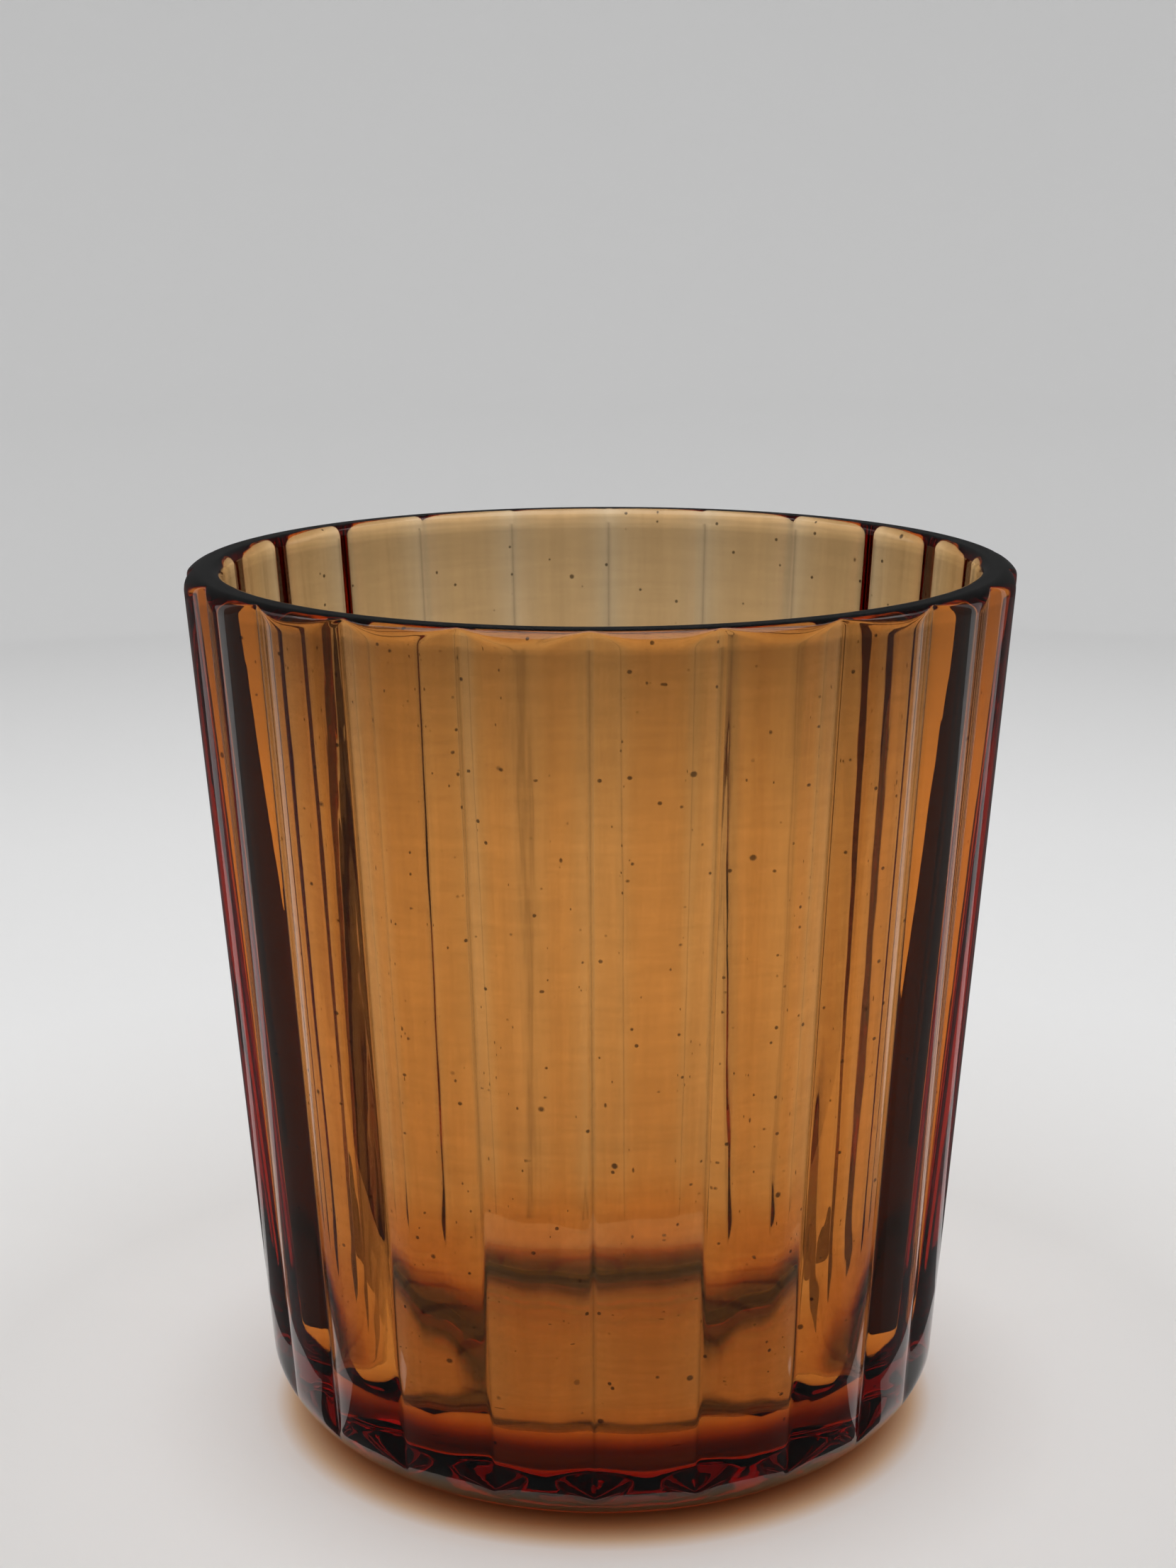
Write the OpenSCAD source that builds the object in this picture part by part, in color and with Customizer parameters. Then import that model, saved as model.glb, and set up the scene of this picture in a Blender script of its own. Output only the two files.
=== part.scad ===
// Pressed amber glass cup with reeded sides, open at the top.
// Millimetres, +Z up, origin at the centre of the resting plane.
// The cup is one piece of glass: its mould shapes the reeds and the heel, its plunger the smooth inside.

/* [Outside] */
// Diameter across the reed crests at the rim
rim_d = 73.9; // [72:0.1:78]
// Height from the resting plane to the top of the rim
height = 79.5; // [70:0.5:90]
// Diameter across the reed crests, with the straight wall carried down to the resting plane
base_d = 61.5; // [60:0.1:64]
// Radius of the rounded heel at the bottom edge
heel_r = 8.5; // [5:0.5:9]

/* [Reeds] */
// Number of convex reeds round the outside
reed_count = 22; // [18:1:26]
// How far a groove lies below the crests at the rim
groove_depth = 1.1; // [0.6:0.1:1.2]
// Angle of the first groove from the front
groove_angle = -1.4; // [-10:0.1:10]

/* [Inside] */
// Inside diameter at the rim
mouth_d = 66.8; // [65:0.1:67.4]
// Inside diameter, with the inner wall carried down to the resting plane
bore_d = 54; // [50:0.5:54]
// Glass under the inside floor
floor_t = 3.2; // [2.8:0.1:6]
// Radius between the inside wall and the floor
corner_r = 10.8; // [8:0.1:12]

/* [Edges] */
// Radius of the outer edge of the rim
rim_outer_r = 1.5; // [0.8:0.1:1.6]
// Radius of the inner edge of the rim
rim_inner_r = 1.0; // [0.6:0.1:1.2]
// Height of the shallow hollow under the foot
foot_hollow = 0.6; // [0.4:0.1:1]
// Width of the flat ring that the cup rests on
foot_ring_w = 5; // [3:0.5:6]

/* [Hidden] */
$fn = 96;
// clearance that a cutter runs past the faces it cuts
over = 2;
// how far the plain outer form stands off the reed crests, so that only its heel and rim cut them
stand_off = 0.05;

rim_r = rim_d / 2;
base_r = base_d / 2;
form_r = base_r + stand_off;
mouth_r = mouth_d / 2;
bore_r = bore_d / 2;

// half the angle that one reed covers, seen from above
half_pitch = 180 / reed_count;
groove_r = rim_r - groove_depth;
// radius of a reed at the rim: an arc through the crest and both neighbouring grooves
reed_r = (rim_r * rim_r - 2 * groove_r * rim_r * cos(half_pitch) + groove_r * groove_r)
    / (2 * (rim_r - groove_r * cos(half_pitch)));
reed_axis_r = rim_r - reed_r;
// everything on the outside shrinks in this proportion from the rim to the resting plane
taper = base_r / rim_r;

// outward lean of the outer and inner walls
outer_lean = atan((rim_r - base_r) / height);
inner_lean = atan((mouth_r - bore_r) / height);

// centre radius of an arc of radius r, centre height z, that touches a leaning wall from the inside
function arc_x(foot_r, lean, z, r) = foot_r + z * tan(lean) - r / cos(lean);

heel_x = arc_x(form_r, outer_lean, heel_r, heel_r);
rim_z = height - rim_outer_r;
rim_x = arc_x(form_r, outer_lean, rim_z, rim_outer_r);
corner_z = floor_t + corner_r;
corner_x = arc_x(bore_r, inner_lean, corner_z, corner_r);
// the rim's inner edge curves the other way, so its centre lies in the glass
lip_z = height - rim_inner_r;
lip_x = bore_r + lip_z * tan(inner_lean) + rim_inner_r / cos(inner_lean);

hollow_r = heel_x - foot_ring_w;
// radius of the ball whose cap is the hollow under the foot
hollow_ball_r = (hollow_r * hollow_r + foot_hollow * foot_hollow) / (2 * foot_hollow);

// point where an arc of radius r, centred at (x, z), touches a wall with this lean
function touch(x, z, r, lean) = [x + r * cos(lean), z - r * sin(lean)];

// Half section of the cup's plain outer form: heel, straight leaning wall and rim edge.
module envelope_section() {
    polygon([
        [0, 0],
        [heel_x, 0],
        touch(heel_x, heel_r, heel_r, outer_lean),
        touch(rim_x, rim_z, rim_outer_r, outer_lean),
        [rim_x, height],
        [0, height]
    ]);
    translate([heel_x, heel_r]) circle(r = heel_r);
    translate([rim_x, rim_z]) circle(r = rim_outer_r);
}

// Half section of the space inside, up to the curved inner edge of the rim.
module cavity_section() {
    polygon([
        [0, floor_t],
        [corner_x, floor_t],
        touch(corner_x, corner_z, corner_r, inner_lean),
        [lip_x - rim_inner_r * cos(inner_lean), lip_z + rim_inner_r * sin(inner_lean)],
        [lip_x - rim_inner_r, height + over],
        [0, height + over]
    ]);
    translate([corner_x, corner_z]) circle(r = corner_r);
    difference() {
        translate([0, lip_z]) square([lip_x, rim_inner_r + over]);
        translate([lip_x, lip_z]) circle(r = rim_inner_r);
    }
}

// One reed: a cone that leans with the wall, so that it narrows from the rim to the heel.
module reed(angle) {
    lean = atan(reed_axis_r * (1 - taper) / height);
    length = height / cos(lean);
    rotate([0, 0, angle - 90])
        translate([reed_axis_r * taper, 0, 0])
        rotate([0, lean, 0])
        translate([0, 0, -over])
        cylinder(h = length + 2 * over, r1 = reed_r * taper, r2 = reed_r);
}

// The whole reeded outside, before the heel and rim round it off.
module reeded_blank() {
    for (i = [0 : reed_count - 1])
        reed(groove_angle + (i + 0.5) * 2 * half_pitch);
    translate([0, 0, -over])
        cylinder(h = height + 2 * over, r1 = reed_axis_r * taper, r2 = reed_axis_r);
}

module glass_cup() {
    color([0.72, 0.40, 0.16, 0.6])
    difference() {
        intersection() {
            reeded_blank();
            rotate_extrude() envelope_section();
        }
        rotate_extrude() cavity_section();
        translate([0, 0, foot_hollow - hollow_ball_r]) sphere(r = hollow_ball_r);
    }
}

glass_cup();
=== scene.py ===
"""A pressed amber glass cup with convex reeds, standing on a plain pale floor."""
import math

import bpy
from mathutils import Matrix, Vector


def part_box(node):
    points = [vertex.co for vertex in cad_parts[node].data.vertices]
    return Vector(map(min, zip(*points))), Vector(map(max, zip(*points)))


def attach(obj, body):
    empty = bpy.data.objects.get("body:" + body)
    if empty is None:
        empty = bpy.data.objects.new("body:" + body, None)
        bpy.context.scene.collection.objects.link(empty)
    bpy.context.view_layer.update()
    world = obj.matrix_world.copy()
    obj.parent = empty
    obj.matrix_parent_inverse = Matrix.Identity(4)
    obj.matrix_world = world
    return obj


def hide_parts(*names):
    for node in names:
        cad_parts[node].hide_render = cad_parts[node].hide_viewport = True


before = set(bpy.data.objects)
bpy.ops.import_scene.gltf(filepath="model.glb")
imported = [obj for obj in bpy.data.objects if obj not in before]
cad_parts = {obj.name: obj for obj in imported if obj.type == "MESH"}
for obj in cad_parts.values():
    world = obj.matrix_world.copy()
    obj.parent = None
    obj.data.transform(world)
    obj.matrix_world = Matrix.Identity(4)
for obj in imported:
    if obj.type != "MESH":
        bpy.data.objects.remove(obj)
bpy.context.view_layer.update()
MM = 0.001

# ---------------------------------------------------------------- the cup's form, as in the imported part
CUP_LOW, CUP_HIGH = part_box("glass_cup")
HEIGHT = CUP_HIGH[2] - CUP_LOW[2]

REED_COUNT = 22
COLUMNS_PER_REED = 24
GROOVE_ANGLE = math.radians(-1.4)
HALF_PITCH = math.pi / REED_COUNT
RIM_R = 36.95 * MM
BASE_R = 30.75 * MM
GROOVE_DEPTH = 1.1 * MM
GROOVE_ROUNDING = 0.25 * MM
EDGE_ROUNDING = 0.25 * MM
GROOVE_LINE = 0.28 * MM
MOUTH_R = 33.4 * MM
BORE_R = 27.0 * MM
FLOOR_T = 3.2 * MM
CORNER_R = 10.8 * MM
HEEL_R = 8.5 * MM
RIM_OUTER_R = 1.5 * MM
RIM_INNER_R = 1.0 * MM
FOOT_HOLLOW = 0.6 * MM
FOOT_RING_W = 5.0 * MM

OUTER_SLOPE = (RIM_R - BASE_R) / HEIGHT
INNER_SLOPE = (MOUTH_R - BORE_R) / HEIGHT
OUTER_LEAN = math.atan(OUTER_SLOPE)
INNER_LEAN = math.atan(INNER_SLOPE)
GROOVE_R = RIM_R - GROOVE_DEPTH
REED_R = (RIM_R**2 - 2 * GROOVE_R * RIM_R * math.cos(HALF_PITCH) + GROOVE_R**2) / (
    2 * (RIM_R - GROOVE_R * math.cos(HALF_PITCH))
)


def arc_x(foot_r, slope, z, r):
    """Centre radius of an arc of radius r at height z that touches a leaning wall from the inside."""
    return foot_r + z * slope - r * math.sqrt(1 + slope * slope)


HEEL_X = arc_x(BASE_R, OUTER_SLOPE, HEEL_R, HEEL_R)
RIM_Z = HEIGHT - RIM_OUTER_R
RIM_X = arc_x(BASE_R, OUTER_SLOPE, RIM_Z, RIM_OUTER_R)
CORNER_Z = FLOOR_T + CORNER_R
CORNER_X = arc_x(BORE_R, INNER_SLOPE, CORNER_Z, CORNER_R)
LIP_Z = HEIGHT - RIM_INNER_R
LIP_X = BORE_R + LIP_Z * INNER_SLOPE + RIM_INNER_R * math.sqrt(1 + INNER_SLOPE**2)
HOLLOW_R = HEEL_X - FOOT_RING_W


def soft_min(a, b, width):
    """The lower of a and b, with the corner between them rounded over about this width."""
    h = max(width - abs(a - b), 0.0) / width
    return min(a, b) - h * h * width * 0.25


def soft_max(a, b, width):
    """The higher of a and b, rounded in the same way."""
    return -soft_min(-a, -b, width)


def reed_outline(turn):
    """Radius of the reeded outside at the rim, at an angle from the middle of a reed."""
    axis_r = RIM_R - REED_R

    def reed(angle):
        inside = REED_R**2 - (axis_r * math.sin(angle)) ** 2
        return axis_r * math.cos(angle) + math.sqrt(max(inside, 0.0))

    here = reed(turn)
    side = reed(2 * HALF_PITCH - abs(turn))
    return soft_max(here, side, GROOVE_ROUNDING)


def arc_steps(centre, r, start, end, count):
    """Points (radius, height) along an arc, its start left out."""
    points = []
    for i in range(1, count + 1):
        a = math.radians(start + (end - start) * i / count)
        points.append((centre[0] + r * math.cos(a), centre[1] + r * math.sin(a)))
    return points


def line_steps(a, b, count):
    """Points from a to b, closer together towards both ends, a left out."""
    points = []
    for i in range(1, count + 1):
        t = 0.5 - 0.5 * math.cos(math.pi * i / count)
        points.append((a[0] + (b[0] - a[0]) * t, a[1] + (b[1] - a[1]) * t))
    return points


def outer_section():
    """The plain outer form from the middle of the foot to the top of the rim."""
    ball_r = (HOLLOW_R**2 + FOOT_HOLLOW**2) / (2 * FOOT_HOLLOW)
    points = []
    for i in range(1, 9):
        x = HOLLOW_R * i / 8
        points.append((x, math.sqrt(ball_r**2 - x * x) - ball_r + FOOT_HOLLOW))
    points += line_steps(points[-1], (HEEL_X, 0.0), 4)
    lean = math.degrees(OUTER_LEAN)
    points += arc_steps((HEEL_X, HEEL_R), HEEL_R, -90, -lean, 24)
    wall_top = (RIM_X + RIM_OUTER_R * math.cos(OUTER_LEAN), RIM_Z - RIM_OUTER_R * math.sin(OUTER_LEAN))
    points += line_steps(points[-1], wall_top, 34)
    points += arc_steps((RIM_X, RIM_Z), RIM_OUTER_R, -lean, 90, 18)
    return points


def inner_section():
    """The inside from the top of the rim to the middle of the floor."""
    lean = math.degrees(INNER_LEAN)
    points = line_steps((RIM_X, HEIGHT), (LIP_X, HEIGHT), 4)
    points += arc_steps((LIP_X, LIP_Z), RIM_INNER_R, 90, 180 - lean, 12)
    wall_low = (CORNER_X + CORNER_R * math.cos(INNER_LEAN), CORNER_Z - CORNER_R * math.sin(INNER_LEAN))
    points += line_steps(points[-1], wall_low, 24)
    points += arc_steps((CORNER_X, CORNER_Z), CORNER_R, -lean, -90, 30)
    points += line_steps(points[-1], (CORNER_X * 0.12, FLOOR_T), 8)
    return points


def ring_faces(row_count, n):
    """Quads between closed rings of n points, one ring after another."""
    faces = []
    for r in range(row_count - 1):
        for c in range(n):
            d = (c + 1) % n
            faces.append((r * n + c, r * n + d, (r + 1) * n + d, (r + 1) * n + c))
    return faces


def make_cup_mesh():
    """The whole cup as one closed skin of quads, with how deep in a groove each point is."""
    columns = []
    depths = []
    for reed in range(REED_COUNT):
        for i in range(COLUMNS_PER_REED):
            turn = HALF_PITCH * math.sin(math.pi * (i / COLUMNS_PER_REED - 0.5))
            middle = GROOVE_ANGLE + (2 * reed + 1) * HALF_PITCH
            columns.append((middle + turn, reed_outline(turn) / RIM_R))
            depths.append(max(0.0, 1.0 - (HALF_PITCH - abs(turn)) * RIM_R / GROOVE_LINE))
    rows = []
    marks = []
    for x, z in outer_section():
        wall = BASE_R + z * OUTER_SLOPE
        reeded = x > 0.75 * wall
        row = [(soft_min(x, wall * shrink, EDGE_ROUNDING) if reeded else x, z) for _, shrink in columns]
        rows.append(row)
        on_wall = HEEL_R * 0.5 < z < HEIGHT - RIM_OUTER_R
        marks += [depth if on_wall else 0.0 for depth in depths]
    for x, z in inner_section():
        rows.append([(x, z)] * len(columns))
    verts = []
    for row in rows:
        for (angle, _), (x, z) in zip(columns, row):
            verts.append((x * math.sin(angle), -x * math.cos(angle), z))
    n = len(columns)
    faces = ring_faces(len(rows), n)
    under = len(verts)
    verts.append((0.0, 0.0, FOOT_HOLLOW))
    floor = len(verts)
    verts.append((0.0, 0.0, FLOOR_T))
    last = (len(rows) - 1) * n
    for c in range(n):
        d = (c + 1) % n
        faces.append((under, d, c))
        faces.append((floor, last + c, last + d))
    mesh = bpy.data.meshes.new("cup")
    mesh.from_pydata(verts, [], faces)
    mesh.shade_smooth()
    groove = mesh.attributes.new("groove", "FLOAT", "POINT")
    groove.data.foreach_set("value", marks + [0.0] * (len(verts) - len(marks)))
    return mesh


# ---------------------------------------------------------------- the glass
# what a metre of it lets through, and how much of it there is
TINT = (0.913, 0.577, 0.0, 1)
TINT_DENSITY = 390.0
GLASS_IOR = 1.52
# how dark the painted shade in the bottoms of the grooves goes
GROOVE_PAINTED_SHADE = 0.45
# how dark the painted shade under the lip goes
LIP_PAINTED_SHADE = 0.7
SPECK_SHADE = 0.05
WAVE_HEIGHT = 0.02 * MM
LINE_HEIGHT = 0.002 * MM


def node(nt, kind, **settings):
    """A new shader node. Settings that name an input set it, and the others are the node's own."""
    made = nt.nodes.new("ShaderNode" + kind)
    for key, value in settings.items():
        if key in made.inputs:
            made.inputs[key].default_value = value
        else:
            setattr(made, key, value)
    return made


def noise(nt, place, stretch, scale, detail=2.0):
    """Noise in the object's own metres, with its grain stretched by a factor on each axis."""
    grain = node(nt, "Mapping", Scale=stretch)
    nt.links.new(place, grain.inputs["Vector"])
    made = node(nt, "TexNoise", Scale=scale, Detail=detail)
    nt.links.new(grain.outputs["Vector"], made.inputs["Vector"])
    return made.outputs["Fac"]


def remap(nt, value, low, high, start, end):
    """The value's stretch from low to high, mapped to start and end and held there outside it."""
    made = node(nt, "MapRange")
    nt.links.new(value, made.inputs["Value"])
    for key, number in (("From Min", low), ("From Max", high), ("To Min", start), ("To Max", end)):
        made.inputs[key].default_value = number
    return made.outputs["Result"]


def combine(nt, operation, a, b):
    """Two values put through one arithmetic operation."""
    made = node(nt, "Math", operation=operation)
    nt.links.new(a, made.inputs[0])
    nt.links.new(b, made.inputs[1])
    return made.outputs[0]


def specks(nt, place, scale, size, share):
    """Seeds in the glass: 1 outside them and dark inside, in this share of the pattern's cells."""
    cells = node(nt, "TexVoronoi", Scale=scale)
    nt.links.new(place, cells.inputs["Vector"])
    spot = remap(nt, cells.outputs["Distance"], size * 0.6, size, 1.0, 0.0)
    picked = node(nt, "SeparateColor")
    nt.links.new(cells.outputs["Color"], picked.inputs["Color"])
    chosen = remap(nt, picked.outputs["Red"], share - 0.01, share, 1.0, 0.0)
    dark = combine(nt, "MULTIPLY", spot, chosen)
    return remap(nt, dark, 0.0, 1.0, 1.0, SPECK_SHADE)


def make_glass():
    """Clear amber glass: the colour is in the thickness, so the base is darker than the wall."""
    mat = bpy.data.materials.new("amber_glass")
    mat.use_nodes = True
    nt = mat.node_tree
    nt.nodes.clear()
    out = node(nt, "OutputMaterial")
    glass = node(nt, "BsdfPrincipled")
    glass.inputs["IOR"].default_value = GLASS_IOR
    glass.inputs["Transmission Weight"].default_value = 1.0
    nt.links.new(glass.outputs[0], out.inputs["Surface"])
    tint = node(nt, "VolumeAbsorption", Color=TINT, Density=TINT_DENSITY)
    nt.links.new(tint.outputs[0], out.inputs["Volume"])

    place = node(nt, "TexCoord").outputs["Object"]
    height = node(nt, "SeparateXYZ")
    nt.links.new(place, height.inputs[0])
    # painted shade darkening the bottoms of the grooves
    groove_mark = node(nt, "Attribute", attribute_name="groove")
    groove_painted_shade = remap(nt, groove_mark.outputs["Fac"], 0.0, 1.0, 1.0, GROOVE_PAINTED_SHADE)
    # drawn streaks down the wall, wide and fine
    streaks = remap(nt, noise(nt, place, (1, 1, 0.03), 420.0), 0.3, 0.7, 0.9, 1.0)
    fine = remap(nt, noise(nt, place, (1, 1, 0.02), 1500.0), 0.35, 0.65, 0.94, 1.0)
    # painted shade: a darker band under the lip, which stops short of the fire-polished rim itself
    painted_lip_band = remap(nt, height.outputs["Z"], HEIGHT * 0.78, HEIGHT - 3 * MM, 1.0, LIP_PAINTED_SHADE)
    rim_left_unshaded = remap(nt, height.outputs["Z"], HEIGHT - 2.6 * MM, HEIGHT - 1.6 * MM, 0.0, 1.0)
    painted_lip_band = combine(nt, "MAXIMUM", painted_lip_band, rim_left_unshaded)
    brushed = remap(nt, noise(nt, place, (0.12, 0.12, 1), 1300.0), 0.35, 0.65, 0.93, 1.0)
    tone = combine(nt, "MULTIPLY", groove_painted_shade, streaks)
    tone = combine(nt, "MULTIPLY", tone, fine)
    tone = combine(nt, "MULTIPLY", tone, painted_lip_band)
    tone = combine(nt, "MULTIPLY", tone, brushed)
    tone = combine(nt, "MULTIPLY", tone, specks(nt, place, 520.0, 0.11, 0.45))
    tone = combine(nt, "MULTIPLY", tone, specks(nt, place, 210.0, 0.07, 0.55))
    paint = node(nt, "CombineColor")
    for channel in ("Red", "Green", "Blue"):
        nt.links.new(tone, paint.inputs[channel])
    nt.links.new(paint.outputs[0], glass.inputs["Base Color"])

    # the waviness that pressing leaves, and the finer drawn lines on it
    wave = node(nt, "Bump", Distance=WAVE_HEIGHT, Strength=1.0)
    nt.links.new(noise(nt, place, (1, 1, 0.12), 260.0, 1.0), wave.inputs["Height"])
    lines = node(nt, "Bump", Distance=LINE_HEIGHT, Strength=1.0)
    nt.links.new(noise(nt, place, (1, 1, 0.03), 1400.0, 1.0), lines.inputs["Height"])
    nt.links.new(wave.outputs[0], lines.inputs["Normal"])
    nt.links.new(lines.outputs[0], glass.inputs["Normal"])
    # a little haze that comes and goes
    haze = remap(nt, noise(nt, place, (1, 1, 0.3), 90.0), 0.45, 0.7, 0.0, 0.03)
    nt.links.new(haze, glass.inputs["Roughness"])
    return mat


cup = bpy.data.objects.new("cup", make_cup_mesh())
bpy.context.scene.collection.objects.link(cup)
cup.data.materials.append(make_glass())
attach(cup, "root")
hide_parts("glass_cup")


# ---------------------------------------------------------------- the stage
# just under the foot, so that the glass and the paper don't share a face
FLOOR_GAP = 0.1 * MM
# painted light: the paper itself glows amber within this radius under the foot, as if lit through the
# base
PAINTED_GLOW_R = 16.8 * MM
PAINTED_GLOW_STRENGTH = 0.22
# the paper's tone from the middle outwards, all of it painted light: a painted shadow in a dark ring
# under the foot, painted amber light in a ring round it, then the painted falling off of the light
PAPER_PAINTED_LIGHT_REACH = 0.5
PAPER_PAINTED_LIGHT = (
    (0.0, (0.97, 0.95, 0.92)),
    (0.0174, (0.97, 0.95, 0.92)),
    (0.0194, (0.05, 0.04, 0.04)),
    (0.0245, (0.05, 0.04, 0.04)),
    (0.0268, (0.52, 0.25, 0.10)),
    (0.0292, (0.82, 0.58, 0.36)),
    (0.0315, (0.97, 0.95, 0.93)),
    (0.044, (0.96, 0.95, 0.94)),
    (0.06, (0.84, 0.83, 0.82)),
    (0.13, (0.85, 0.85, 0.85)),
    (0.22, (0.80, 0.80, 0.80)),
    (0.42, (0.60, 0.60, 0.60)),
)
SWEEP_FLAT_R = 0.9
SWEEP_BEND_R = 0.6
SWEEP_TOP = 1.4
SWEEP_SIDES = 96
PAINTED_GLOW_COLOUR = (1.0, 0.86, 0.62, 1)


def make_paper():
    """Pale paper with its painted light and shade, and a painted amber glow under the base, all set by
    the radius.
    """
    mat = bpy.data.materials.new("sweep_paper")
    mat.use_nodes = True
    nt = mat.node_tree
    paper = nt.nodes["Principled BSDF"]
    paper.inputs["Roughness"].default_value = 0.9
    paper.inputs["Emission Color"].default_value = PAINTED_GLOW_COLOUR
    length = node(nt, "VectorMath", operation="LENGTH")
    nt.links.new(node(nt, "TexCoord").outputs["Object"], length.inputs[0])
    radius = length.outputs["Value"]
    scaled = node(nt, "Math", operation="DIVIDE")
    nt.links.new(radius, scaled.inputs[0])
    scaled.inputs[1].default_value = PAPER_PAINTED_LIGHT_REACH
    ramp = node(nt, "ValToRGB")
    nt.links.new(scaled.outputs[0], ramp.inputs["Fac"])
    nt.links.new(ramp.outputs["Color"], paper.inputs["Base Color"])
    stops = ramp.color_ramp.elements
    while len(stops) < len(PAPER_PAINTED_LIGHT):
        stops.new(1.0)
    for stop, (stop_radius, tone) in zip(stops, PAPER_PAINTED_LIGHT):
        stop.position = stop_radius / PAPER_PAINTED_LIGHT_REACH
        stop.color = (*tone, 1)
    # painted glow: the paper shines within this radius
    painted_glow = remap(nt, radius, PAINTED_GLOW_R, PAINTED_GLOW_R * 1.12, PAINTED_GLOW_STRENGTH, 0.0)
    nt.links.new(painted_glow, paper.inputs["Emission Strength"])
    return mat


def make_stage():
    """A round pale sweep: a flat floor that curves up into a wall, the same from every side."""
    section = [(r, -FLOOR_GAP) for r in (0.0, 0.03, 0.25, 0.6)]
    section += arc_steps((SWEEP_FLAT_R, SWEEP_BEND_R - FLOOR_GAP), SWEEP_BEND_R, -90, 0, 16)
    section.append((SWEEP_FLAT_R + SWEEP_BEND_R, SWEEP_TOP))
    n = SWEEP_SIDES
    verts = []
    for x, z in section:
        for c in range(n):
            a = 2 * math.pi * c / n
            verts.append((x * math.sin(a), -x * math.cos(a), z))
    faces = ring_faces(len(section), n)
    mesh = bpy.data.meshes.new("sweep")
    mesh.from_pydata(verts, [], faces)
    mesh.shade_smooth()
    obj = bpy.data.objects.new("sweep", mesh)
    bpy.context.scene.collection.objects.link(obj)
    obj.data.materials.append(make_paper())
    return obj


# the cards are painted shade and painted reflection: dark sheets that only the glass sees, standing for
# darker surroundings;
# directions in degrees from the front, distances in metres, and how pale each one is
CARD_COUNT = 24
CARD_TONE = 0.01
CARD_LIFT = 0.001
CARD_FAR = 0.42
CARD_TOP = 0.8
CARD_NEAR = 0.043
FRONT_NEAR = 0.031
LEFT_EDGE = -121.5
RIGHT_EDGE = 114.5
FRONT_EDGE = 77.0
FRONT_SPREAD = 62.0
FRONT_TONE = 0.14
SIDE_SPREAD = 110.0
SIDE_TONE = 0.2
BACK_EDGE = 122.0
BACK_TONE = 0.08


def dark_card(name, mesh, mirrored, tone):
    """A card that only the glass sees: in its reflections if mirrored, otherwise through it."""
    obj = bpy.data.objects.new(name, mesh)
    bpy.context.scene.collection.objects.link(obj)
    mat = bpy.data.materials.new(name)
    mat.use_nodes = True
    bsdf = mat.node_tree.nodes["Principled BSDF"]
    bsdf.inputs["Base Color"].default_value = (tone, tone, tone, 1)
    bsdf.inputs["Roughness"].default_value = 1.0
    bsdf.inputs["Specular IOR Level"].default_value = 0.0
    obj.data.materials.append(mat)
    obj.visible_camera = False
    obj.visible_diffuse = False
    obj.visible_glossy = mirrored
    obj.visible_transmission = not mirrored
    obj.visible_shadow = False
    return obj


def shade_card(name, start, end, near, mirrored=False, tone=CARD_TONE):
    """A card round the cup, along the floor and then upright, between two directions.

    The directions are degrees from the front towards the right.
    """
    radii = (near, 0.12, 0.2, CARD_FAR)
    section = [(r, CARD_LIFT) for r in radii] + [(CARD_FAR, CARD_TOP)]
    verts = []
    for i in range(CARD_COUNT + 1):
        a = math.radians(start + (end - start) * i / CARD_COUNT)
        verts += [(x * math.sin(a), -x * math.cos(a), z) for x, z in section]
    k = len(section)
    faces = []
    for i in range(CARD_COUNT):
        for j in range(k - 1):
            faces.append((i * k + j, i * k + k + j, i * k + k + j + 1, i * k + j + 1))
    mesh = bpy.data.meshes.new(name)
    mesh.from_pydata(verts, [], faces)
    return dark_card(name, mesh, mirrored, tone)


make_stage()
shade_card("card_left", LEFT_EDGE, -FRONT_EDGE, CARD_NEAR)
shade_card("card_right", FRONT_EDGE, RIGHT_EDGE, CARD_NEAR)
shade_card("card_front", -FRONT_SPREAD, FRONT_SPREAD, FRONT_NEAR, mirrored=True, tone=FRONT_TONE)
shade_card("card_side_left", -SIDE_SPREAD, -FRONT_SPREAD, CARD_NEAR, mirrored=True, tone=SIDE_TONE)
shade_card("card_side_right", FRONT_SPREAD, SIDE_SPREAD, CARD_NEAR, mirrored=True, tone=SIDE_TONE)
shade_card("card_back", BACK_EDGE, 360.0 - BACK_EDGE, CARD_NEAR, mirrored=True, tone=BACK_TONE)

WORLD_STRENGTH = 1.35
GLASS_BOUNCES = 32
world = bpy.data.worlds.new("studio")
bpy.context.scene.world = world
world.use_nodes = True
world.node_tree.nodes["Background"].inputs["Color"].default_value = (1, 1, 1, 1)
world.node_tree.nodes["Background"].inputs["Strength"].default_value = WORLD_STRENGTH

# ---------------------------------------------------------------- the camera, at the photograph's angle
CAMERA_DISTANCE = 227.4 * MM
CAMERA_HEIGHT = 113.9 * MM
PITCH = math.radians(13.59)
YAW = math.radians(-0.30)
ROLL = math.radians(0.25)
LENS_MM = 39.472
SENSOR_MM = 24.0

camera_data = bpy.data.cameras.new("camera")
camera_data.sensor_fit = "VERTICAL"
camera_data.sensor_height = SENSOR_MM
camera_data.lens = LENS_MM
camera_data.clip_start = 0.01
camera_data.clip_end = 10.0
camera = bpy.data.objects.new("camera", camera_data)
bpy.context.scene.collection.objects.link(camera)
turn = Matrix.Rotation(-YAW, 4, "Z") @ Matrix.Rotation(math.pi / 2 - PITCH, 4, "X")
turn = turn @ Matrix.Rotation(-ROLL, 4, "Z")
camera.matrix_world = Matrix.Translation((0, -CAMERA_DISTANCE, CAMERA_HEIGHT)) @ turn
bpy.context.scene.camera = camera

scene = bpy.context.scene
scene.view_settings.view_transform = "Standard"
scene.cycles.max_bounces = GLASS_BOUNCES
scene.cycles.transmission_bounces = GLASS_BOUNCES
scene.cycles.glossy_bounces = 8
